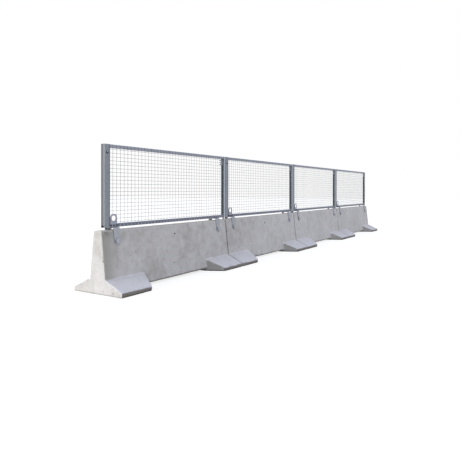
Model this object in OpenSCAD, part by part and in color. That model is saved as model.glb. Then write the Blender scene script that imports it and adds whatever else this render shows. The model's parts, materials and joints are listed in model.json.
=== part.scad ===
// Mesh panel barrier: a row of precast concrete barrier units with a continuous
// run of galvanised welded-mesh panels bolted along the top.
// +X runs along the row, +Y points to the back, +Z is up. Millimetres.

/* [Row] */
// Number of barrier units in the row
bays = 4; // [4:1:4]
// Length of one concrete unit
unit_len = 2800; // [2400:10:3200]
// Clearance between the end faces of two units
unit_gap = 0; // [0:0.5:10]

/* [Concrete unit] */
// Height of the unit
unit_h = 806; // [700:1:950]
// Thickness of the wall at its top
wall_top_w = 150; // [120:1:240]
// Thickness of the wall where it meets the feet
wall_low_w = 290; // [250:1:380]
// Height of that meeting line above the ground
foot_h = 182; // [140:1:240]
// Chamfer along the top edges
top_chamfer = 12; // [5:1:25]
// Chamfer along the edges of the end faces
end_chamfer = 9; // [4:1:20]
// Height of the drainage gap under the wall
drain_h = 34; // [15:1:60]
// Diameter of the handling socket in the middle of the front face
socket_d = 22; // [16:1:40]
// Depth of the socket
socket_deep = 45; // [30:1:50]
// Distance of the socket below the top of the unit
socket_down = 140; // [100:5:250]

/* [Feet] */
// Width of the feet across the row
base_w = 880; // [700:5:1100]
// Length of a foot along the wall
foot_len = 690; // [500:5:850]
// How much shorter the foot is at its tip
foot_taper = 150; // [40:5:220]
// Flat ledge between the wall and the slope
ledge_w = 46; // [20:1:80]
// Height of the upright face at the tip
tip_h = 58; // [35:1:90]
// Radius of the edge above the tip face
tip_round = 18; // [6:1:25]
// Radius of the corner of the tip, seen from above
foot_round = 60; // [20:5:90]
// Radius of the edge between the ledge and the slope
ledge_round = 25; // [10:1:40]

/* [Panel] */
// Distance of the run of panels from each end of the row
run_inset = 76; // [20:1:150]
// Gap between two panels
panel_gap = 8; // [4:1:20]
// Height of a panel
panel_h = 1078; // [900:1:1300]
// Space between the concrete and a panel
lift = 36; // [30:1:60]
// Front face of the posts, in front of the row's centre line
post_front = 52; // [40:1:70]
// Width of the left post
left_w = 86; // [60:1:100]
// Depth of the left post
left_d = 74; // [56:1:90]
// Width of the right post
right_w = 52; // [40:1:70]
// Depth of the right post
right_d = 62; // [55:1:80]
// Height and depth of the rails
rail = 46; // [35:1:50]
// Wall thickness of posts and rails
tube_t = 4; // [3:0.5:5]
// Outer radius of the corners of posts and rails
tube_round = 7; // [5.5:0.5:10]
// Width of the slot in the foot of the left post
slot_w = 40; // [20:1:44]
// Height of that slot
slot_h = 28; // [15:1:40]

/* [Mesh] */
// Spacing of the level wires
row_pitch = 50; // [45:1:60]
// Spacing of the upright wires
col_pitch = 66.2; // [55:0.1:80]
// Wire thickness
wire = 4; // [3:0.5:5]

/* [Fixings] */
// Distance of a saddle's centre from the end of its unit
saddle_in = 250; // [200:1:400]
// Width of a saddle strap
strap_w = 110; // [80:1:140]
// Strap thickness
strap_t = 8; // [6:1:12]
// Inner radius of the bends in a strap
bend_r = 15; // [4:1:20]
// Length of the legs down the faces of the wall
leg_len = 196; // [150:1:260]
// Diameter of the round clamp heads
head_d = 78; // [60:1:100]
// How far a clamp head stands proud
head_t = 20; // [12:1:30]
// Bevel round a clamp head
head_bevel = 6; // [2:0.5:8]
// Height of a clamp head's centre above the lower end of the leg
head_up = 52; // [46:1:80]
// Clearance between a left post and the eye plate beside it
eye_gap = 1; // [0.5:0.5:60]
// Outer radius of the lifting eye
eye_r = 58; // [50:1:75]
// Distance of the plate's lower edge above the bottom of the panel
eye_foot = 8; // [0:1:20]
// Diameter of the hole in the lifting eye
eye_hole_d = 70; // [40:1:80]
// Height of the eye's centre above the bottom of the panel
eye_up = 118; // [90:1:150]
// Thickness of the eye plate
eye_t = 8; // [6:1:16]
// Diameter of the coupling hole in the left post
coupling_d = 42; // [25:1:50]
// Distance of the coupling line below the top of the panel
coupling_down = 106; // [90:1:160]
// Height of the coupling claw
claw_h = 92; // [70:1:120]
// Reach of the coupling claw into the panel
claw_len = 72; // [50:1:100]
// Width of the slot between its prongs
claw_slot = 38; // [20:1:50]
// Thickness of the claw's plate
claw_t = 8; // [5:1:12]
// Diameter of the levelling studs under the posts
stud_d = 24; // [16:1:36]

/* [Hidden] */
$fn = 48;

// Row
row_len = bays * unit_len + (bays - 1) * unit_gap;
function unit_x(i) = -row_len / 2 + (i - 1) * (unit_len + unit_gap);

// Panels
panel_len = (row_len - 2 * run_inset - (bays - 1) * panel_gap) / bays;
panel_z = unit_h + lift;
panel_top = panel_z + panel_h;
function panel_x(i) = -row_len / 2 + run_inset + (i - 1) * (panel_len + panel_gap);

// Concrete section
toe_round = 8;
ledge_fall = 6;
batter = (wall_low_w - wall_top_w) / 2 / (unit_h - foot_h);
function wall_half(z) = wall_top_w / 2 + (unit_h - z) * batter;

// Rails sit behind the mesh, and the mesh behind the face of the posts
mesh_set = 2;
mesh_y = -post_front + mesh_set;
rail_y = mesh_y + wire;
rail_x0 = left_w;
rail_x1 = panel_len - tube_t;

// Mesh field
mesh_x0 = left_w;
mesh_x1 = panel_len - right_w;
mesh_w = mesh_x1 - mesh_x0;
cols = floor(mesh_w / col_pitch - 1);
col_margin = (mesh_w - cols * col_pitch) / 2;
rows = floor((panel_h - wire) / row_pitch) + 1;
row_margin = (panel_h - (rows - 1) * row_pitch) / 2;
third = floor((cols + 1) / 3);

// The flat top of a saddle carries the panel, clear of the wall, and its legs lie
// on the faces of the wall, which lean in by this angle
lean = atan(batter);
leg_end = unit_h - leg_len;
strap_out = strap_t / cos(lean);

// Coupling line
coupling_z = panel_top - coupling_down;

// ---- Outlines ----

function along(v) = v / norm(v);

// A convex outline with a rounded corner at each point that has a radius
module rounded_outline(points, radii) {
    n = len(points);
    corners = [for (k = [0 : n - 1]) let (
        p = points[k], r = radii[k],
        a = along(points[(k + n - 1) % n] - p), b = along(points[(k + 1) % n] - p),
        half = acos(a * b) / 2)
        [p + a * r / tan(half), p + b * r / tan(half), p + along(a + b) * r / sin(half), r]];
    polygon([for (c = corners) each c[3] > 0 ? [c[0], c[1]] : [c[0]]]);
    for (c = corners) if (c[3] > 0) translate(c[2]) circle(r = c[3]);
}

// The outline of a rolled hollow section
module tube_outline(w, d, r) {
    rounded_outline([[0, 0], [w, 0], [w, d], [0, d]], [r, r, r, r]);
}

module tube_section(w, d) {
    difference() {
        tube_outline(w, d, tube_round);
        translate([tube_t, tube_t])
            tube_outline(w - 2 * tube_t, d - 2 * tube_t, tube_round - tube_t);
    }
}

// A square bar set on edge, whose middle line cuts a chamfer along an edge
module chamfer_bar(size, length) {
    rotate([0, 0, 45]) cube([size * sqrt(2), size * sqrt(2), length], center = true);
}

// ---- Concrete ----

module wall_section() {
    polygon([
        [-wall_half(drain_h), drain_h], [wall_half(drain_h), drain_h],
        [wall_half(unit_h - top_chamfer), unit_h - top_chamfer],
        [wall_top_w / 2 - top_chamfer, unit_h], [-(wall_top_w / 2 - top_chamfer), unit_h],
        [-wall_half(unit_h - top_chamfer), unit_h - top_chamfer]
    ]);
}

// Half of a foot seen from the end: toe, tip, slope, ledge
module foot_half_section() {
    ledge_x = wall_low_w / 2 + ledge_w;
    rounded_outline(
        [[0, 0], [base_w / 2, 0], [base_w / 2, tip_h], [ledge_x, foot_h - ledge_fall],
         [wall_low_w / 2, foot_h], [0, foot_h]],
        [0, toe_round, tip_round, ledge_round, 0, 0]);
}

// One foot in plan: square at the end of the unit, drawn in towards the tips
module foot_plan() {
    x1 = foot_len - foot_taper;
    y0 = wall_low_w / 2;
    y1 = base_w / 2;
    rounded_outline(
        [[0, -y1], [x1, -y1], [foot_len, -y0], [foot_len, y0], [x1, y1], [0, y1]],
        [0, foot_round, 0, 0, foot_round, 0]);
}

module foot() {
    intersection() {
        rotate([90, 0, 90]) linear_extrude(foot_len) {
            foot_half_section();
            mirror([1, 0]) foot_half_section();
        }
        linear_extrude(unit_h / 2) foot_plan();
    }
}

// Chamfers round the upper part of one end face
module end_chamfers() {
    for (s = [-1, 1]) {
        translate([0, s * wall_top_w / 2, unit_h]) rotate([s * lean, 0, 0])
            translate([0, 0, (foot_h - unit_h) / 2 / cos(lean) + top_chamfer])
            chamfer_bar(end_chamfer, (unit_h - foot_h) / cos(lean) + 2 * top_chamfer);
    }
    translate([0, 0, unit_h]) rotate([90, 0, 0]) chamfer_bar(end_chamfer, wall_top_w * 2);
}

module handling_socket() {
    translate([unit_len / 2, -wall_half(unit_h - socket_down) - 1, unit_h - socket_down])
        rotate([-90, 0, 0]) cylinder(d = socket_d, h = socket_deep + 1);
}

module wall() {
    difference() {
        rotate([90, 0, 90]) linear_extrude(unit_len) wall_section();
        end_chamfers();
        translate([unit_len, 0, 0]) end_chamfers();
        handling_socket();
    }
}

module concrete_unit() {
    wall();
    foot();
    translate([unit_len, 0, 0]) mirror([1, 0, 0]) foot();
}

module unit(i) {
    color([0.72, 0.72, 0.70]) translate([unit_x(i), 0, 0]) concrete_unit();
}

// ---- Panel frame ----

module left_post(i) {
    color([0.55, 0.58, 0.60]) translate([panel_x(i), -post_front, panel_z])
        difference() {
            union() {
                linear_extrude(panel_h) tube_section(left_w, left_d);
                for (z = [0, panel_h - tube_t]) translate([0, 0, z])
                    linear_extrude(tube_t) tube_outline(left_w, left_d, tube_round);
            }
            // slot at the foot of the side wall, just ahead of its rounded corner
            translate([-1, left_d - tube_round - slot_w, -1])
                cube([tube_t + 2, slot_w, slot_h + 1]);
            // coupling hole in the front wall
            translate([left_w / 2, -1, panel_h - coupling_down]) rotate([-90, 0, 0])
                cylinder(d = coupling_d, h = tube_t + 2);
        }
}

// A channel, open towards the mesh
module right_post(i) {
    color([0.60, 0.63, 0.66]) translate([panel_x(i) + panel_len - right_w, -post_front, panel_z])
        linear_extrude(panel_h) difference() {
            rounded_outline([[0, 0], [right_w, 0], [right_w, right_d], [0, right_d]],
                            [0, tube_round, tube_round, 0]);
            translate([-1, tube_t])
                rounded_outline([[0, 0], [right_w - tube_t + 1, 0],
                                 [right_w - tube_t + 1, right_d - 2 * tube_t], [0, right_d - 2 * tube_t]],
                                [0, tube_round - tube_t, tube_round - tube_t, 0]);
        }
}

module rail_bar(i, z) {
    color([0.58, 0.61, 0.64]) translate([panel_x(i) + rail_x0, rail_y, z])
        rotate([90, 0, 90]) linear_extrude(rail_x1 - rail_x0) tube_section(rail, rail);
}

module top_rail(i) { rail_bar(i, panel_top - rail); }
module bottom_rail(i) { rail_bar(i, panel_z); }

// ---- Mesh ----

// Upright wires a to b of one panel, with their share of the level wires
module mesh_part(i, a, b) {
    x0 = a == 0 ? 0 : col_margin + (a - 0.5) * col_pitch;
    x1 = b == cols ? mesh_w : col_margin + (b + 0.5) * col_pitch;
    color([0.75, 0.77, 0.79])
        translate([panel_x(i) + mesh_x0, mesh_y + wire, panel_z]) rotate([90, 0, 0])
        linear_extrude(wire) {
            for (k = [a : b])
                translate([col_margin + k * col_pitch - wire / 2, 0]) square([wire, panel_h]);
            for (k = [0 : rows - 1])
                translate([x0, row_margin + k * row_pitch - wire / 2]) square([x1 - x0, wire]);
        }
}

module mesh_left(i) { mesh_part(i, 0, third - 1); }
module mesh_middle(i) { mesh_part(i, third, 2 * third - 1); }
module mesh_right(i) { mesh_part(i, 2 * third, cols); }

// ---- Fixings ----

// The space inside a strap, from the ends of its legs to its flat top, grown by
// the strap's thickness for the outside
module strap_bend(grow, r) {
    top = panel_z - strap_t + grow;
    out = grow / cos(lean);
    rounded_outline(
        [[-wall_half(leg_end) - out, leg_end], [wall_half(leg_end) + out, leg_end],
         [wall_half(top) + out, top], [-wall_half(top) - out, top]],
        [0, 0, r, r]);
}

// A strap bent over the wall, with an upstand behind the bottom rail
module saddle() {
    reach = base_w / 2;
    intersection() {
        translate([-strap_w / 2, 0, 0]) rotate([90, 0, 90]) linear_extrude(strap_w) difference() {
            strap_bend(strap_t, bend_r + strap_t);
            strap_bend(0, bend_r);
        }
        translate([0, reach, 0]) rotate([90, 0, 0]) linear_extrude(2 * reach) {
            translate([-strap_w / 2, leg_end + strap_w / 2]) square([strap_w, leg_len + lift]);
            translate([0, leg_end + strap_w / 2]) circle(d = strap_w);
        }
    }
    translate([-strap_w / 2, rail_y + rail, panel_z - strap_t / 2])
        cube([strap_w, strap_t, strap_t / 2 + rail]);
}

module saddles(i) {
    color([0.66, 0.69, 0.75]) for (x = [saddle_in, unit_len - saddle_in])
        translate([unit_x(i) + x, 0, 0]) saddle();
}

// A plate with a ring at its top, clamped against the mesh and the bottom rail
module eye_plate(i) {
    color([0.60, 0.63, 0.68])
        translate([panel_x(i) + left_w + eye_gap + eye_r, mesh_y, panel_z]) rotate([90, 0, 0])
        linear_extrude(eye_t) difference() {
            union() {
                translate([-eye_r, eye_foot]) square([2 * eye_r, eye_up - eye_foot]);
                translate([0, eye_up]) circle(r = eye_r);
            }
            translate([0, eye_up]) circle(d = eye_hole_d);
        }
}

// A round head with a bevelled rim, square to the leg that it holds
module clamp_head() {
    rotate_extrude() polygon([
        [0, 0], [head_d / 2, 0], [head_d / 2, head_t - head_bevel],
        [head_d / 2 - head_bevel, head_t], [0, head_t]
    ]);
}

module clamp_heads() {
    z = leg_end + head_up;
    color([0.68, 0.71, 0.77]) for (i = [1 : bays]) for (x = [saddle_in, unit_len - saddle_in])
        for (s = [-1, 1]) translate([unit_x(i) + x, s * (wall_half(z) + strap_out), z])
            rotate([-s * (90 - lean), 0, 0]) clamp_head();
}

// A claw of two prongs on the inner edge of each right post
module coupling_claws() {
    color([0.45, 0.48, 0.52]) for (i = [1 : bays])
        translate([panel_x(i) + panel_len - right_w, rail_y + rail / 2 + claw_t / 2, coupling_z])
            rotate([90, 0, 0]) linear_extrude(claw_t) difference() {
                translate([-claw_len, -claw_h / 2]) square([claw_len + right_w - tube_t, claw_h]);
                circle(d = claw_slot);
                translate([-claw_len - 1, -claw_slot / 2]) square([claw_len + 1, claw_slot]);
            }
}

// A stud under each post stands on the concrete
module levelling_studs() {
    color([0.35, 0.36, 0.38]) for (i = [1 : bays])
        for (x = [left_w / 2, panel_len - right_w / 2])
            translate([panel_x(i) + x, -post_front + right_d / 2, unit_h])
                cylinder(d = stud_d, h = lift);
}

unit(1);  // unit_1
unit(2);  // unit_2
unit(3);  // unit_3
unit(4);  // unit_4
left_post(1);  // left_post_1
left_post(2);  // left_post_2
left_post(3);  // left_post_3
left_post(4);  // left_post_4
right_post(1);  // right_post_1
right_post(2);  // right_post_2
right_post(3);  // right_post_3
right_post(4);  // right_post_4
top_rail(1);  // top_rail_1
top_rail(2);  // top_rail_2
top_rail(3);  // top_rail_3
top_rail(4);  // top_rail_4
bottom_rail(1);  // bottom_rail_1
bottom_rail(2);  // bottom_rail_2
bottom_rail(3);  // bottom_rail_3
bottom_rail(4);  // bottom_rail_4
mesh_left(1);  // mesh_1_left
mesh_middle(1);  // mesh_1_middle
mesh_right(1);  // mesh_1_right
mesh_left(2);  // mesh_2_left
mesh_middle(2);  // mesh_2_middle
mesh_right(2);  // mesh_2_right
mesh_left(3);  // mesh_3_left
mesh_middle(3);  // mesh_3_middle
mesh_right(3);  // mesh_3_right
mesh_left(4);  // mesh_4_left
mesh_middle(4);  // mesh_4_middle
mesh_right(4);  // mesh_4_right
saddles(1);  // saddles_1
saddles(2);  // saddles_2
saddles(3);  // saddles_3
saddles(4);  // saddles_4
eye_plate(1);  // eye_plate_1
eye_plate(2);  // eye_plate_2
eye_plate(3);  // eye_plate_3
eye_plate(4);  // eye_plate_4
clamp_heads();
coupling_claws();
levelling_studs();
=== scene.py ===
# %% [markdown]
# # Mesh panel barrier
# A row of precast concrete units carries a fence of welded mesh in steel tube frames.
# The solids come ready made, in metres, so this lesson only dresses them: cast
# concrete gets worn edges, the mesh gets round wires, and every surface a finish.

# %% Load the frame
import bpy
import bmesh
import math
import json
import numpy as np
from mathutils import Matrix, Vector, noise


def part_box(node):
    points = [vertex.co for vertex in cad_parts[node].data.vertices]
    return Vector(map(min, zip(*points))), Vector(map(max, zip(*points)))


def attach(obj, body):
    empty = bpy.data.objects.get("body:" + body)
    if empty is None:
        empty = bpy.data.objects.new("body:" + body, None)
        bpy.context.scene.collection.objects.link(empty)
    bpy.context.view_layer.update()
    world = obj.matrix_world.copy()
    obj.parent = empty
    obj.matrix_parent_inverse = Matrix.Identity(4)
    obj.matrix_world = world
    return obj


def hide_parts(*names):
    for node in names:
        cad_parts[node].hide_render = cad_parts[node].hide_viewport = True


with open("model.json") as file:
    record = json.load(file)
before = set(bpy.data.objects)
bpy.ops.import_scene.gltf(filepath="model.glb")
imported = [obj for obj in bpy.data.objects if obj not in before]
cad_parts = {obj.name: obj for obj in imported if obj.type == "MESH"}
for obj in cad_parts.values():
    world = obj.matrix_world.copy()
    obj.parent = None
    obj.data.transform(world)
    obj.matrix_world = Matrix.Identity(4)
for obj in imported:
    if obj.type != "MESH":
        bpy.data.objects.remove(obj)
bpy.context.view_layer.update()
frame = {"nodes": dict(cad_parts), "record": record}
BAYS = (1, 2, 3, 4)

# %% [markdown]
# ## Camera
# The row is seen from its near left end at standing height. The camera is level, so
# upright posts stay upright, and a small shift frames the row below the horizon.

# %% Camera
def look_level(place, heading, focal, shift):
    """A level camera; heading is the angle from +X, anticlockwise, in degrees."""
    data = bpy.data.cameras.new("camera")
    data.sensor_width = 36.0
    data.lens = focal
    data.shift_x, data.shift_y = shift
    data.clip_end = 200.0
    obj = bpy.data.objects.new("camera", data)
    obj.location = place
    obj.rotation_euler = (math.radians(90), 0, math.radians(heading - 90))
    bpy.context.scene.collection.objects.link(obj)
    bpy.context.scene.camera = obj
    return obj

camera = look_level((-9.593, -4.643, 1.322), 31.756, 36.03, (-0.028, -0.0862))
print("camera at", tuple(camera.location))

# %% [markdown]
# ## Node kit
# A finish is a network of nodes. These two classes let its sums be written as plain
# arithmetic, so that a recipe for zinc or concrete reads like one.

# %% Small node kit
class Wire:
    """The output of a shader node, with arithmetic that adds Math nodes."""

    def __init__(self, finish, socket):
        self.finish, self.socket = finish, socket

    def math(self, operation, *values, clamp=False):
        return self.finish.node("ShaderNodeMath", {"operation": operation, "use_clamp": clamp},
                                {k: v for k, v in enumerate(values)})

    def __add__(self, other):
        return self.math("ADD", self, other)

    def __radd__(self, other):
        return self.math("ADD", other, self)

    def __sub__(self, other):
        return self.math("SUBTRACT", self, other)

    def __rsub__(self, other):
        return self.math("SUBTRACT", other, self)

    def __mul__(self, other):
        return self.math("MULTIPLY", self, other)

    def __rmul__(self, other):
        return self.math("MULTIPLY", other, self)

    def __truediv__(self, other):
        return self.math("DIVIDE", self, other)

    def __pow__(self, other):
        return self.math("POWER", self, other)

    def clip(self):
        return self.math("ADD", self, 0.0, clamp=True)

    def fraction(self):
        return self.math("FRACT", self)

    def above(self, edge, soft):
        """0 below edge - soft, 1 above edge + soft."""
        return self.finish.node("ShaderNodeMapRange", {"interpolation_type": "SMOOTHSTEP"},
                                {"Value": self, "From Min": edge - soft, "From Max": edge + soft})


class Finish:
    """A material or world and the nodes that make it."""

    def __init__(self, name, owner=None):
        self.owner = owner or bpy.data.materials.new(name)
        self.owner.use_nodes = True
        self.tree = self.owner.node_tree
        self.tree.nodes.clear()

    def node(self, kind, settings=None, sockets=None, out=0):
        made = self.tree.nodes.new(kind)
        for key, value in (settings or {}).items():
            if key == "stops":
                ramp = made.color_ramp
                while len(ramp.elements) > 1:
                    ramp.elements.remove(ramp.elements[0])
                for n, (place, colour) in enumerate(value):
                    stop = ramp.elements[0] if n == 0 else ramp.elements.new(place)
                    stop.position, stop.color = place, (*colour, 1.0)
            else:
                setattr(made, key, value)
        for key, value in (sockets or {}).items():
            socket = made.inputs[key]
            if isinstance(value, Wire):
                self.tree.links.new(value.socket, socket)
            else:
                socket.default_value = value
        return Wire(self, made.outputs[out]) if len(made.outputs) else None

    def place(self):
        return self.node("ShaderNodeTexCoord", out="Object")

    def moved(self, scale=(1, 1, 1), at=(0, 0, 0)):
        return self.node("ShaderNodeMapping", None,
                         {"Vector": self.place(), "Scale": scale, "Location": at})

    def noise(self, scale, detail=4.0, rough=0.55, vector=None, out="Fac"):
        return self.node("ShaderNodeTexNoise", None,
                         {"Vector": vector or self.place(), "Scale": scale, "Detail": detail,
                          "Roughness": rough}, out)

    def cells(self, scale, vector=None, out="Distance", feature="F1"):
        return self.node("ShaderNodeTexVoronoi", {"feature": feature},
                         {"Vector": vector or self.place(), "Scale": scale}, out)

    def blend(self, amount, a, b, mode="MIX"):
        return self.node("ShaderNodeMix", {"data_type": "RGBA", "blend_type": mode},
                         {0: amount, 6: a if isinstance(a, Wire) else (*a, 1),
                          7: b if isinstance(b, Wire) else (*b, 1)}, 2)

    def split(self, vector, out):
        return self.node("ShaderNodeSeparateXYZ", None, {0: vector}, out)

    def facing(self, axis):
        """How far a face looks along an axis: 0 is X, 1 is Y, 2 is Z."""
        return self.split(self.node("ShaderNodeTexCoord", out="Normal"), axis)

    def bump(self, height, distance, strength=1.0, normal=None):
        sockets = {"Height": height, "Distance": distance, "Strength": strength}
        if normal is not None:
            sockets["Normal"] = normal
        return self.node("ShaderNodeBump", None, sockets)

    def finish_with(self, **sockets):
        shader = self.node("ShaderNodeBsdfPrincipled", None,
                           {k.replace("_", " "): v for k, v in sockets.items()})
        self.node("ShaderNodeOutputMaterial", None, {0: shader})
        return self.owner

print("node kit ready")

# %% [markdown]
# ## Light and floor
# A low broad lamp shines along the row from its near end, a weak one fills from the
# front, and a pale sky does the rest. The floor is white where the camera or a
# reflection sees it, yet keeps a soft shadow.

# %% World, lamps and floor
scene = bpy.context.scene
scene.view_settings.view_transform = "Standard"
scene.world = scene.world or bpy.data.worlds.new("sky")
sky = Finish("sky", scene.world)
ray = sky.node("ShaderNodeLightPath", out="Is Camera Ray")
soft_sky = sky.node("ShaderNodeBackground", None, {0: (0.89, 0.925, 1.0, 1), 1: 0.80})
white = sky.node("ShaderNodeBackground", None, {0: (1, 1, 1, 1), 1: 1.0})
sky.node("ShaderNodeOutputWorld", None,
         {0: sky.node("ShaderNodeMixShader", None, {0: ray, 1: soft_sky, 2: white})})

def sun(name, toward, strength, angle, colour):
    data = bpy.data.lights.new(name, "SUN")
    data.energy, data.angle, data.color = strength, math.radians(angle), colour
    obj = bpy.data.objects.new(name, data)
    obj.rotation_euler = Vector(toward).to_track_quat("-Z", "Y").to_euler()
    scene.collection.objects.link(obj)
    return obj

sun("key", (0.90, -0.30, -0.16), 2.85, 28, (1.0, 0.965, 0.875))
sun("fill", (0.25, 0.80, -0.55), 0.38, 60, (1.0, 0.985, 0.985))

def make_floor():
    bm = bmesh.new()
    bmesh.ops.create_grid(bm, x_segments=1, y_segments=1, size=60.0)
    mesh = bpy.data.meshes.new("floor")
    bm.to_mesh(mesh)
    bm.free()
    floor = bpy.data.objects.new("floor", mesh)
    scene.collection.objects.link(floor)
    look = Finish("floor")
    rays = look.node("ShaderNodeLightPath", out="Is Camera Ray")
    gloss = look.node("ShaderNodeLightPath", out="Is Glossy Ray")
    through = look.node("ShaderNodeLightPath", out="Is Transmission Ray")
    seen = (rays + gloss + through).clip()
    plain = look.node("ShaderNodeBsdfDiffuse", None, {0: (0.55, 0.55, 0.55, 1)})
    lit = look.node("ShaderNodeBsdfDiffuse", None, {0: (0.34, 0.34, 0.34, 1)})
    glow = look.node("ShaderNodeEmission", None, {0: (1, 1, 1, 1), 1: 0.76})
    pale = look.node("ShaderNodeAddShader", None, {0: lit, 1: glow})
    look.node("ShaderNodeOutputMaterial", None,
              {0: look.node("ShaderNodeMixShader", None, {0: seen, 1: plain, 2: pale})})
    mesh.materials.append(look.owner)
    return floor

floor = make_floor()
print("lamps and floor ready")

# %% [markdown]
# ## Finishes
# Hot-dip galvanised steel is a mosaic of zinc crystals: cells of slightly different
# grey, with a dull bloom over them, and painted shade on faces that look along the row.
# Cast concrete is a cloudy grey with small air holes, with painted shade on faces along
# the row and painted sky light where it faces the sky.

# %% Galvanised steel
def galvanised(name, tone, metallic=0.35, rough=0.50, cell=55.0, bloom=0.35, side=0.50,
               lee=None, band=None):
    """Zinc-coated steel. Faces that look along the row, to -X, get painted shade by `side`,
    or only those in front of y = lee. In front of y = band they are brighter again.
    Faces that look up get a painted bluish sky light."""
    f = Finish(name)
    y = f.split(f.place(), 1)
    crystal = f.split(f.cells(cell, out="Color"), 0)
    cloud = f.noise(3.0, 5.0, 0.6)
    fine = f.noise(38.0, 3.0, 0.6)
    dark = tuple(c * 0.80 for c in tone)
    light = tuple(min(1.0, c * 1.22) for c in tone)
    colour = f.blend((crystal * 0.5 + fine * 0.5).clip(), dark, light)
    dull = f.blend((cloud.above(0.52, 0.16) * bloom).clip(), colour,
                   tuple(min(1.0, c * 1.15 + 0.03) for c in tone))
    along = (f.facing(0) * -1.0).above(0.75, 0.15)
    if lee is not None:
        along = along * (1.0 - y.above(lee, 0.006))
    # painted shade on the faces that look along the row
    darkened = f.blend(along * side, dull, tuple(c * 0.12 for c in tone))
    if band is not None:
        front_band = along * (1.0 - y.above(band, 0.003))
        darkened = f.blend(front_band * 0.35, darkened, tuple(min(1.0, c * 1.1) for c in tone))
    # painted bluish sky light on the faces that look up
    top = f.facing(2).above(0.35, 0.25)
    sky_lit = f.blend(top * 0.45, darkened, (0.45, 0.49, 0.60))
    return f.finish_with(Base_Color=sky_lit, Metallic=metallic,
                         Roughness=(rough + (crystal - 0.5) * 0.16 + (cloud - 0.5) * 0.2).clip(),
                         Normal=f.bump(crystal * 0.25 + fine * 0.5, 0.0012, 0.5))

zinc_frame = galvanised("zinc frame", (0.265, 0.290, 0.325), rough=0.52, side=0.74, band=-0.016)
zinc_channel = galvanised("zinc channel", (0.41, 0.45, 0.50))
zinc_rail = galvanised("zinc rail", (0.165, 0.175, 0.225))
zinc_top = galvanised("zinc top rail", (0.330, 0.345, 0.405))
# painted shadows of the upright wires on the top rail, and painted highlights at them on the bottom
# rail
zinc_wire_shadows = galvanised("zinc at the top welds", (0.150, 0.160, 0.200))
zinc_wire_highlights = galvanised("zinc at the low welds", (0.225, 0.240, 0.295))
# a pale colour painted on as light, for the inner side of the saddles' back legs, which lies in
# shade
zinc_painted_light = galvanised("pale zinc", (0.86, 0.85, 0.83), metallic=0.0, side=0.0)
zinc_wire = galvanised("zinc wire", (0.17, 0.185, 0.205), 0.30, 0.5, cell=120.0, side=0.2)
# wires that lie on a rail get a painted highlight
zinc_wire_highlit = galvanised("zinc wire on rails", (0.60, 0.62, 0.66), 0.20, 0.5, cell=120.0,
                           side=0.2)
zinc_strap = galvanised("zinc strap", (0.410, 0.420, 0.450), cell=45.0, side=0.75, lee=-0.06)
zinc_head = galvanised("zinc head", (0.420, 0.430, 0.470), cell=45.0, side=0.55, lee=-0.06)
zinc_plate = galvanised("zinc plate", (0.345, 0.360, 0.415), cell=45.0, side=0.6)
zinc_claw = galvanised("zinc claw", (0.42, 0.44, 0.48), side=0.2)
# near black stands for the shade deep inside a hollow
deep_shade = galvanised("deep shade", (0.010, 0.011, 0.015), 0.0, 0.8, bloom=0.1)
steel_dark = galvanised("dark steel", (0.060, 0.064, 0.074), 0.4, 0.6, cell=90.0, bloom=0.15)
print("zinc finishes:", len(bpy.data.materials))

# %% [markdown]
# ## Handling socket
# A plain round hole in the front of each wall takes a lifting pin. Its size is read off
# the solid, so the dark ring round it and the hole itself always agree.

# %% Handling socket
def socket_of(node):
    """Centre of the socket's mouth, its radius and its depth, found on the solid."""
    lo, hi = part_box(node)
    middle = (lo[0] + hi[0]) / 2
    rim = [v.co for v in frame["nodes"][node].data.vertices
           if abs(v.co.x - middle) < 0.03 and v.co.z > 0.4 and v.co.y < -0.02]
    low, high = min(c.z for c in rim), max(c.z for c in rim)
    mouth = min(c.y for c in rim)
    depth = max(c.y for c in rim) - mouth
    return Vector((middle, mouth, (low + high) / 2)), (high - low) / 2, depth

print("socket:", socket_of("unit_1"))
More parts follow.
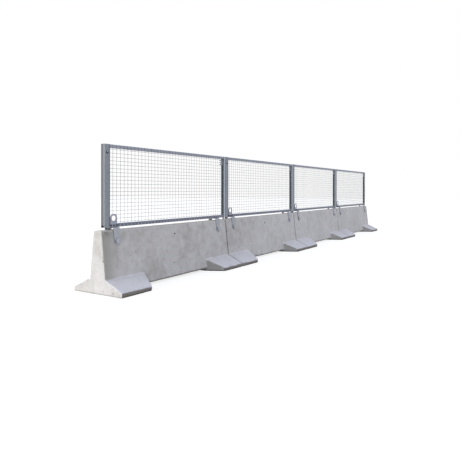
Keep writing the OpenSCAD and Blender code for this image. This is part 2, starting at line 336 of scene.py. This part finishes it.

# %% [markdown]
# ## Cast concrete
# One recipe serves all four castings. Each layer is laid over the last: cloudy grey,
# painted sky light on the slopes, a darker end band and stains, painted shade on faces
# along the row, splashed toes, a painted contact shadow, a dark ring round the socket,
# air holes with painted shade inside.

# %% Cast concrete
def cast_concrete():
    """Weathered grey concrete; its dirt, painted light and painted shade are placed by height and by
    where a face looks.
    """
    f = Finish("cast concrete")
    x, y, z = (f.split(f.place(), k) for k in range(3))
    east, north, up = (f.facing(k) for k in range(3))
    front = (north * -1.0).above(0.70, 0.15)
    cloud = f.noise(1.7, 6.0, 0.62)
    mottle = f.noise(9.0, 5.0, 0.62)
    sand = f.noise(120.0, 2.0, 0.6)
    streak = f.noise(1.0, 4.0, 0.6, f.moved((11.0, 11.0, 1.1)))
    tone = (cloud * 0.34 + mottle * 0.34 + streak * 0.14 + sand * 0.18).clip()
    grey = f.node("ShaderNodeValToRGB",
                  {"stops": [(0.38, (0.385, 0.368, 0.355)), (0.49, (0.502, 0.490, 0.490)),
                             (0.61, (0.605, 0.593, 0.600))]}, {0: tone})
    # the units further along are a little paler
    paler_further = f.blend(x.above(-1.8, 1.6) * 0.16, grey, (0.90, 0.89, 0.90))
    # the sloping feet get a painted bluish sky light, most of all near their tips, away from the
    # wall's shade
    slope = up.above(0.25, 0.22) * (1.0 - z.above(0.30, 0.05))
    tips = (y * y).above(0.085, 0.06)
    sky_lit_slopes = f.blend(slope * (0.55 + tips * 0.27), paler_further, (0.665, 0.668, 0.745))
    # the top of the wall is a little lighter and warmer
    ridge = up.above(0.35, 0.25) * z.above(0.70, 0.05)
    top_lightened = f.blend(ridge * 0.5, sky_lit_slopes, (0.56, 0.55, 0.53))
    # the first hand's breadth of the front at the end of the row is darker and greener
    first = 1.0 - x.above(-5.45, 0.17)
    end_band = first * front * (0.45 + mottle * 0.6)
    darkened = f.blend(end_band.clip(), top_lightened, (0.31, 0.302, 0.268))
    corner = first * front * z.above(0.735, 0.06) * mottle.above(0.46, 0.10)
    stained = f.blend(corner * 0.75, darkened, (0.155, 0.130, 0.112))
    # faces that look along the row, past the first end, get painted shade
    along = (east * -1.0).above(0.75, 0.15) * x.above(-5.5, 0.02)
    side_shaded = f.blend(along * 0.46, stained, (0.20, 0.195, 0.165))
    # splashes on the toes of the feet, and a painted contact shadow: a dark line where they touch
    # the ground
    ragged = z + (mottle - 0.5) * 0.045
    toe = (1.0 - ragged.above(0.056, 0.010)) * (north * north).above(0.4, 0.2)
    splashed = f.blend((toe * (0.60 + mottle * 0.6)).clip(), side_shaded, (0.165, 0.146, 0.130))
    sole = (1.0 - z.above(0.017, 0.005)) * (1.0 - first * 0.7)
    contact_shaded = f.blend(sole * 0.92, splashed, (0.022, 0.020, 0.018))
    # a near-black ring round the socket
    mouth, radius = socket_of("unit_1")[:2]
    lo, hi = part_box("unit_1")
    length = hi[0] - lo[0]
    # counted in units from the first socket; the 40 keeps the sum above zero
    beside = ((x - mouth.x) / length + 40.5).fraction() - 0.5
    across, over = beside * length, z - mouth.z
    reach = (across * across + over * over) ** 0.5
    dark_ring = (1.0 - reach.above(radius * 1.25, 0.003)) * front * 0.85
    ringed = f.blend(dark_ring, contact_shaded, (0.05, 0.045, 0.04))
    # air holes of two sizes, in patches
    few = f.noise(3.1, 2.0, 0.5).above(0.43, 0.05)
    large = (1.0 - f.cells(9.0).above(0.085, 0.016)) * few
    some = f.noise(2.3, 2.0, 0.5).above(0.42, 0.08)
    small = (1.0 - f.cells(23.0).above(0.150, 0.03)) * some
    pits = (large + small * 0.6).clip()
    # the air holes are painted dark, for the shade inside them
    pitted = f.blend(pits * 0.78, ringed, (0.12, 0.105, 0.092))
    height = mottle * 0.5 + sand * 0.25 - pits * 1.5
    return f.finish_with(Base_Color=pitted, Roughness=0.88, Normal=f.bump(height, 0.003, 0.6))

concrete = cast_concrete()
print("finishes:", len(bpy.data.materials))

# %% [markdown]
# ## Softened edges
# Real concrete arrises are worn and real tube has rounded corners. A copy of each
# solid is welded up, its flat faces are joined again, and every sharp edge is bevelled.
# The concrete is worn in another way, further down.

# %% Soften a solid
def welded_copy(node):
    """The solid's mesh with shared points and whole flat faces."""
    bm = bmesh.new()
    bm.from_mesh(frame["nodes"][node].data)
    bmesh.ops.remove_doubles(bm, verts=bm.verts, dist=1e-5)
    bmesh.ops.dissolve_limit(bm, angle_limit=math.radians(0.6), verts=bm.verts, edges=bm.edges,
                             delimit={"NORMAL"})
    return bm

def sharp_edges(bm, angle=25.0):
    """The edges where two faces meet at more than angle degrees."""
    return [e for e in bm.edges if len(e.link_faces) == 2
            and e.calc_face_angle(0.0) > math.radians(angle)]

def eased(bm, width, segments):
    """Bevel the sharp edges."""
    bmesh.ops.bevel(bm, geom=sharp_edges(bm), offset=width, offset_type="OFFSET",
                    segments=segments, profile=0.5, affect="EDGES", clamp_overlap=True,
                    material=-1)

def to_piece(bm, name, material, slot, *nodes, smooth=35.0, inner=None):
    """Make bm a piece on root, in place of the nodes; inner finishes the marked faces."""
    bmesh.ops.triangulate(bm, faces=[f for f in bm.faces if len(f.verts) > 4])
    bmesh.ops.recalc_face_normals(bm, faces=bm.faces)
    for face in bm.faces:
        face.smooth = True
    for e in bm.edges:
        if len(e.link_faces) == 2 and e.calc_face_angle(0.0) > math.radians(smooth):
            e.smooth = False
    mesh = bpy.data.meshes.new(name)
    bm.to_mesh(mesh)
    bm.free()
    mesh.materials.append(material)
    if inner is not None:
        mesh.materials.append(inner)
    piece = bpy.data.objects.new(name, mesh)
    scene.collection.objects.link(piece)
    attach(piece, "root")
    if nodes:
        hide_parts(*nodes)
    return piece

def softened(node, name, width, segments, material, slot):
    """A solid with eased edges, as a piece in its place."""
    bm = welded_copy(node)
    eased(bm, width, segments)
    return to_piece(bm, name, material, slot, node)

print("unit_1 has", len(frame["nodes"]["unit_1"].data.vertices), "points")

# %% [markdown]
# ## Worn concrete
# Arrises of concrete chip and round off unevenly. Each casting is rebuilt as an even
# skin of small faces, then relaxed more in some places than in others.

# %% Worn concrete
JOINT_GAP = 0.010      # each end stands back this far from the joint
VOXEL = 0.011          # size of the grid that the casting is rebuilt on

def rebuilt(bm, name, voxel):
    """The closed solid in bm, rebuilt as an even skin of small quads."""
    rough = bpy.data.meshes.new(name + "_rough")
    bm.to_mesh(rough)
    bm.free()
    obj = bpy.data.objects.new(name + "_rough", rough)
    scene.collection.objects.link(obj)
    skin = obj.modifiers.new("skin", "REMESH")
    skin.mode, skin.voxel_size, skin.adaptivity = "VOXEL", voxel, 0.0
    graph = bpy.context.evaluated_depsgraph_get()
    done = bpy.data.meshes.new_from_object(obj.evaluated_get(graph))
    bpy.data.objects.remove(obj)
    bpy.data.meshes.remove(rough)
    return done

def wear(mesh, passes=5):
    """Rub the arrises down, more in some places than in others."""
    count = len(mesh.vertices)
    place = np.empty(count * 3)
    mesh.vertices.foreach_get("co", place)
    place = place.reshape(-1, 3)
    ends = np.empty(len(mesh.edges) * 2, dtype=np.int64)
    mesh.edges.foreach_get("vertices", ends)
    ends = ends.reshape(-1, 2)
    near = np.bincount(ends.ravel(), minlength=count)[:, None]
    soft = np.array([noise.noise(Vector(p) * 4.0) + 0.6 * noise.noise(Vector(p) * 17.0)
                     for p in place])
    soft = np.clip(0.35 + 0.9 * soft, 0.08, 1.0)[:, None]
    for _ in range(passes):
        total = np.zeros_like(place)
        for k in range(3):
            total[:, k] = (np.bincount(ends[:, 0], place[ends[:, 1], k], count)
                           + np.bincount(ends[:, 1], place[ends[:, 0], k], count))
        place = place + soft * 0.6 * (total / near - place)
    mesh.vertices.foreach_set("co", place.ravel())
    mesh.update()

print("skin of", VOXEL, "m faces, joints", 2 * JOINT_GAP, "m wide")

# %% [markdown]
# ## Socket holes
# The sockets are stopped up first and drilled again into the worn casting, so their
# rims stay round.

# %% Socket holes
PROUD = 0.02           # the bit starts this far in front of the wall

def filled(bm, node):
    """Stop the socket before the casting is rebuilt, since the grid is too coarse for it."""
    mouth, radius, depth = socket_of(node)
    place = Matrix.Translation(mouth + Vector((0, depth / 2 + 0.004, 0)))
    size = Matrix.Diagonal((3 * radius, depth, 3 * radius, 1))
    bmesh.ops.create_cube(bm, size=1.0, matrix=place @ size)

def bored(mesh, node):
    """Drill the socket into the worn casting."""
    mouth, radius, depth = socket_of(node)
    bit = bmesh.new()
    run = Matrix.Translation(mouth + Vector((0, (depth - PROUD) / 2, 0)))
    level = Matrix.Rotation(math.radians(90), 4, "X")
    bmesh.ops.create_cone(bit, cap_ends=True, segments=24, radius1=radius, radius2=radius,
                          depth=depth + PROUD, matrix=run @ level)
    cutter = bpy.data.meshes.new("bit")
    bit.to_mesh(cutter)
    bit.free()
    tool = bpy.data.objects.new("bit", cutter)
    body = bpy.data.objects.new("body", mesh)
    for obj in (tool, body):
        scene.collection.objects.link(obj)
    cut = body.modifiers.new("socket", "BOOLEAN")
    cut.operation, cut.object, cut.solver = "DIFFERENCE", tool, "EXACT"
    graph = bpy.context.evaluated_depsgraph_get()
    done = bpy.data.meshes.new_from_object(body.evaluated_get(graph))
    for obj in (tool, body):
        bpy.data.objects.remove(obj)
    bpy.data.meshes.remove(cutter)
    bpy.data.meshes.remove(mesh)
    return done

def in_socket(face, mouth, radius, depth):
    """Whether a face lines the socket."""
    c = face.calc_center_median()
    close = math.hypot(c.x - mouth.x, c.z - mouth.z) < radius * 1.02
    return close and mouth.y + 0.002 < c.y < mouth.y + depth + 0.01

print("socket bit ready")

# %% [markdown]
# ## Concrete units
# Each unit is one casting, so one mesh: the wall, its two feet and the gap below. Where
# two units meet, both ends stand back a little and leave an open joint.

# %% Concrete units
def casting(i):
    """A worn, drilled casting, with its socket's faces marked."""
    node = f"unit_{i}"
    bm = welded_copy(node)
    lo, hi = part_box(node)
    for v in bm.verts:
        if i > 1 and v.co.x < lo[0] + 0.03:
            v.co.x += JOINT_GAP
        if i < BAYS[-1] and v.co.x > hi[0] - 0.03:
            v.co.x -= JOINT_GAP
    filled(bm, node)
    mesh = rebuilt(bm, node, VOXEL)
    wear(mesh)
    mesh = bored(mesh, node)
    bm = bmesh.new()
    bm.from_mesh(mesh)
    bpy.data.meshes.remove(mesh)
    mouth, radius, depth = socket_of(node)
    for face in bm.faces:
        if in_socket(face, mouth, radius, depth):
            face.material_index = 1
    return bm

for i in BAYS:
    piece = to_piece(casting(i), f"concrete_unit_{i}", concrete, "concrete", f"unit_{i}",
                     smooth=50, inner=deep_shade)
    print(piece.name, len(piece.data.polygons), "faces")

# %% [markdown]
# ## Where the wires lie
# The wires are laid out before the rails are made, because where an upright wire is welded
# to a rail, the top rail gets a painted shadow of the wire and the bottom rail a painted highlight.

# %% Where the wires lie
WIRE = 0.004           # thickness of a wire
ROW = 0.050            # pitch of the level wires
COLUMN = 0.0662        # pitch of the upright wires
# the painted wire shadows and highlights on the rails reach this far on each side of a wire
WIRE_BAND = 0.008           # a rail has another tone this far on each side of an upright wire

def mesh_layout(i):
    """Where the wires of a panel lie, worked out from the solids' boxes."""
    lo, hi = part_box(f"mesh_{i}_left")[0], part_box(f"mesh_{i}_right")[1]
    width = hi[0] - lo[0]
    count = int(width / COLUMN - 1)
    margin = (width - count * COLUMN) / 2
    xs = [lo[0] + margin + k * COLUMN for k in range(count + 1)]
    height = hi[2] - lo[2]
    rows = int((height - WIRE) / ROW) + 1
    low = lo[2] + (height - (rows - 1) * ROW) / 2
    zs = [low + k * ROW for k in range(rows)]
    return lo, hi, xs, zs

UPRIGHTS = {i: mesh_layout(i)[2] for i in BAYS}
print("upright wires per panel:", [len(xs) for xs in UPRIGHTS.values()])

# %% [markdown]
# ## Tube frames
# Posts and rails are cold-formed tube, with corners of a few millimetres radius. The
# right post is open towards its panel, so its inside shows.

# %% Tube frames
SKIN = 0.003           # faces nearer than this to a tube's box are its outer ones

def inside(face, lo, hi, i):
    c = face.calc_center_median()
    return all(lo[k] + SKIN < c[k] < hi[k] - SKIN for k in (0, 1))

def inside_back(face, lo, hi, i):
    return inside(face, lo, hi, i) and face.normal.x < -0.3

# front faces next to an upright wire, which take the painted wire shadows and highlights
def beside_a_wire(face, lo, hi, i):
    c = face.calc_center_median()
    return c.y < lo[1] + SKIN and min(abs(c.x - x) for x in UPRIGHTS[i]) < WIRE_BAND

def tube(part, i, finish, inner, marked):
    """A post or rail; the faces that marked picks take the inner finish."""
    bm = welded_copy(f"{part}_{i}")
    eased(bm, 0.0006, 1)
    if part.endswith("rail"):
        for x in UPRIGHTS[i]:
            for edge in (x - WIRE_BAND, x + WIRE_BAND):
                bmesh.ops.bisect_plane(bm, geom=bm.verts[:] + bm.edges[:] + bm.faces[:],
                                       plane_co=(edge, 0, 0), plane_no=(1, 0, 0))
    lo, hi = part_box(f"{part}_{i}")
    for face in bm.faces:
        if marked(face, lo, hi, i):
            face.material_index = 1
    piece = to_piece(bm, f"{part}_{i}_tube", finish, "frame_zinc", f"{part}_{i}", inner=inner)
    print(piece.name, len(piece.data.polygons), "faces")

for i in BAYS:
    tube("left_post", i, zinc_frame, deep_shade, inside)
    tube("right_post", i, zinc_channel, deep_shade, inside_back)
    tube("top_rail", i, zinc_top, zinc_wire_shadows, beside_a_wire)
    tube("bottom_rail", i, zinc_rail, zinc_wire_highlights, beside_a_wire)

# %% [markdown]
# ## Edge strips
# A thin dark line runs down the inner front edge of each left post, where the mesh
# ends. A strip a little proud of the post makes it.

# %% Edge strips
STRIP = 0.013          # how far a strip reaches back from the post's inner edge

def box_piece(bm, lo, hi):
    centre = (Vector(lo) + Vector(hi)) / 2
    size = Vector(hi) - Vector(lo)
    place = Matrix.Translation(centre) @ Matrix.Diagonal((*size, 1))
    bmesh.ops.create_cube(bm, size=1.0, matrix=place)

bm = bmesh.new()
for i in BAYS:
    lo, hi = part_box(f"left_post_{i}")
    box_piece(bm, (hi[0] - STRIP, lo[1] - 0.0012, lo[2] + SKIN),
              (hi[0] - 0.0005, lo[1] + 0.0006, hi[2] - SKIN))
strips = to_piece(bm, "mesh_edge_strips", zinc_rail, "frame_zinc")
print(strips.name, len(strips.data.polygons), "faces")

# %% [markdown]
# ## Welded mesh
# Upright wires lie against the front of the rails and level wires run behind them.
# At each crossing they sink into each other a little, as a weld does. Wires are thin
# prisms, so the whole fence stays light.

# %% Wires
LAP = 0.85             # distance between crossing wires, as a share of their thickness

def wire_rod(bm, start, end, thick, sides=6):
    """A straight rod from start to end."""
    start, end = Vector(start), Vector(end)
    run = end - start
    turn = run.to_track_quat("Z", "Y").to_matrix().to_4x4()
    bmesh.ops.create_cone(bm, cap_ends=True, segments=sides, radius1=thick / 2, radius2=thick / 2,
                          depth=run.length, matrix=Matrix.Translation((start + end) / 2) @ turn)

def eye_of(i):
    """Where the hole of a lifting eye is, and its radius, from the mounts."""
    eye = next(m for m in frame["record"]["mounts"] if m["name"] == f"lifting_eye_{i}")
    return eye["pos_m"][0], eye["pos_m"][2], eye["dims"]["r_mm"] / 1000

def clear_of(start, end, middle, off, radius):
    """The stretches of a wire that are left when it is cut away behind an eye."""
    if abs(off) >= radius:
        return [(start, end)]
    half = math.sqrt(radius * radius - off * off) + WIRE
    return [(start, middle - half), (middle + half, end)]

def over_rails(bm, i):
    """Cut the wires at the rails' edges and mark what lies on a rail, which gets a painted
    highlight.
    """
    edges = (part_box(f"bottom_rail_{i}")[1][2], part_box(f"top_rail_{i}")[0][2])
    for z in edges:
        bmesh.ops.bisect_plane(bm, geom=bm.verts[:] + bm.edges[:] + bm.faces[:],
                               plane_co=(0, 0, z), plane_no=(0, 0, 1))
    for face in bm.faces:
        z = face.calc_center_median().z
        if not edges[0] < z < edges[1]:
            face.material_index = 1

for i in BAYS:
    lo, hi, xs, zs = mesh_layout(i)
    x_eye, z_eye, r_eye = eye_of(i)
    bm = bmesh.new()
    y_up = lo[1] + WIRE / 2
    y_level = y_up + WIRE * LAP
    for x in xs:
        for low, high in clear_of(lo[2], hi[2], z_eye, x - x_eye, r_eye):
            wire_rod(bm, (x, y_up, low), (x, y_up, high), WIRE)
    for z in zs[1:-1]:
        for left, right in clear_of(lo[0], hi[0], x_eye, z - z_eye, r_eye):
            wire_rod(bm, (left, y_level, z), (right, y_level, z), WIRE)
    over_rails(bm, i)
    to_piece(bm, f"mesh_{i}", zinc_wire, "mesh_zinc", f"mesh_{i}_left", f"mesh_{i}_middle",
             f"mesh_{i}_right", smooth=70.0, inner=zinc_wire_highlit)
print("wires per panel:", len(xs), "upright and", len(zs) - 2, "level")

# %% [markdown]
# ## Straps, eyes and clamp heads
# Flat bar saddles grip the wall and carry the bottom rail. Each leg is held by a broad
# smooth head.

# %% Saddles and eyes
PLATE_EDGE = 0.0015    # how far the edges of flat bar and plate are eased

def in_back_leg(face):
    """Whether a face looks to the front, down or to -X on the back half of a saddle."""
    c = face.calc_center_median()
    turned = face.normal.y < -0.3 or face.normal.z < -0.3 or face.normal.x < -0.5
    return c.y > 0.02 and c.z > 0.60 and turned

def saddle_pair(i):
    """Both straps of a unit; the inner side of each back leg is painted pale, as painted light over
    its shade.
    """
    bm = welded_copy(f"saddles_{i}")
    eased(bm, PLATE_EDGE, 2)
    for face in bm.faces:
        if in_back_leg(face):
            face.material_index = 1
    return to_piece(bm, f"strap_saddles_{i}", zinc_strap, "strap_zinc", f"saddles_{i}",
                    inner=zinc_painted_light)

for i in BAYS:
    saddle_pair(i)
    softened(f"eye_plate_{i}", f"lifting_eye_{i}", PLATE_EDGE, 2, zinc_plate, "strap_zinc")
heads = softened("clamp_heads", "clamp_head_discs", 0.002, 2, zinc_head, "strap_zinc")
softened("coupling_claws", "panel_claws", 0.001, 2, zinc_claw, "dark_steel")
softened("levelling_studs", "post_studs", 0.001, 1, steel_dark, "dark_steel")
print(heads.name, len(heads.data.polygons), "faces")

# %% [markdown]
# ## Nuts and bolt heads
# Three small bolts hold each eye plate to the bottom rail. A nut stands at the foot of
# each levelling stud.

# %% Nuts and bolt heads
BOLT_PITCH = 0.044     # between the bolts of an eye plate
BOLT_ACROSS = 0.019    # across the flats of their heads
NUT_ACROSS = 0.030     # across the flats of a stud's nut

def hexagon(bm, foot, axis, across, height):
    """A hexagon nut or head standing on foot, with a washer below it."""
    turn = Vector(axis).to_track_quat("Z", "Y").to_matrix().to_4x4()
    washer = (24, across * 0.68, 0.0, 0.003)
    head = (6, across * 0.577, 0.003, height)
    for sides, radius, low, high in (washer, head):
        middle = Vector(foot) + Vector(axis) * (low + high) / 2
        bmesh.ops.create_cone(bm, cap_ends=True, segments=sides, radius1=radius,
                              radius2=radius * 0.94, depth=high - low,
                              matrix=Matrix.Translation(middle) @ turn)

bm = bmesh.new()
for i in BAYS:
    lo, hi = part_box(f"eye_plate_{i}")
    rail_lo, rail_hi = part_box(f"bottom_rail_{i}")
    middle = (lo[0] + hi[0]) / 2
    bolt_z = (rail_lo[2] + rail_hi[2]) / 2 + 0.004
    for side in (-BOLT_PITCH, 0.0, BOLT_PITCH):
        hexagon(bm, (middle + side, lo[1], bolt_z), (0, -1, 0), BOLT_ACROSS, 0.011)
to_piece(bm, "eye_plate_bolts", steel_dark, "dark_steel")

stud_lo, stud_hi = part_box("levelling_studs")
stud_y = (stud_lo[1] + stud_hi[1]) / 2
bm = bmesh.new()
for i in BAYS:
    for part in ("left_post", "right_post"):
        lo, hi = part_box(f"{part}_{i}")
        hexagon(bm, ((lo[0] + hi[0]) / 2, stud_y, stud_lo[2] - 0.0005), (0, 0, 1), NUT_ACROSS, 0.009)
to_piece(bm, "stud_nuts", zinc_claw, "dark_steel")
print("nuts:", 2 * len(BAYS))

# %% [markdown]
# ## Coupling pins and claw bolts
# A round pin end shows in the coupling hole of each left post. A rod runs through each
# claw between its prongs, and short stubs tip the prongs. How the real coupling is
# made inside cannot be seen, so this is one likely way.

# %% Coupling pins and claw bolts
OFFSET = 0.008         # a pin end sits this far to the right of and above the hole's centre
PIN_R = 0.012          # radius of a pin end
ROD = 0.016            # thickness of the rod
STUB = 0.014           # thickness of a stub
PRONG = 0.040          # from the middle of a claw to each prong

bm = bmesh.new()
level = Matrix.Rotation(math.radians(90), 4, "X")
for mount in frame["record"]["mounts"]:
    if mount["name"].startswith("coupling_hole"):
        x, y, z = mount["pos_m"]
        place = Matrix.Translation((x + OFFSET, y + 0.016, z + OFFSET))
        bmesh.ops.create_cone(bm, cap_ends=True, segments=24, radius1=PIN_R, radius2=PIN_R,
                              depth=0.030, matrix=place @ level)
to_piece(bm, "coupling_pins", zinc_channel, "dark_steel")

claw_lo, claw_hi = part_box("coupling_claws")
y = (claw_lo[1] + claw_hi[1]) / 2
bm = bmesh.new()
for i in BAYS:
    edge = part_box(f"right_post_{i}")[0][0]
    hole = next(m for m in frame["record"]["mounts"] if m["name"] == f"coupling_hole_{i}")
    z = hole["pos_m"][2]
    wire_rod(bm, (edge + 0.046, y, z), (edge - 0.090, y, z), ROD, sides=16)
    for z_end in (z - PRONG, z + PRONG):
        wire_rod(bm, (edge - 0.060, y, z_end), (edge - 0.096, y, z_end), STUB, sides=12)
bolts = to_piece(bm, "claw_bolts", zinc_claw, "dark_steel")
print(bolts.name, len(bolts.data.polygons), "faces")
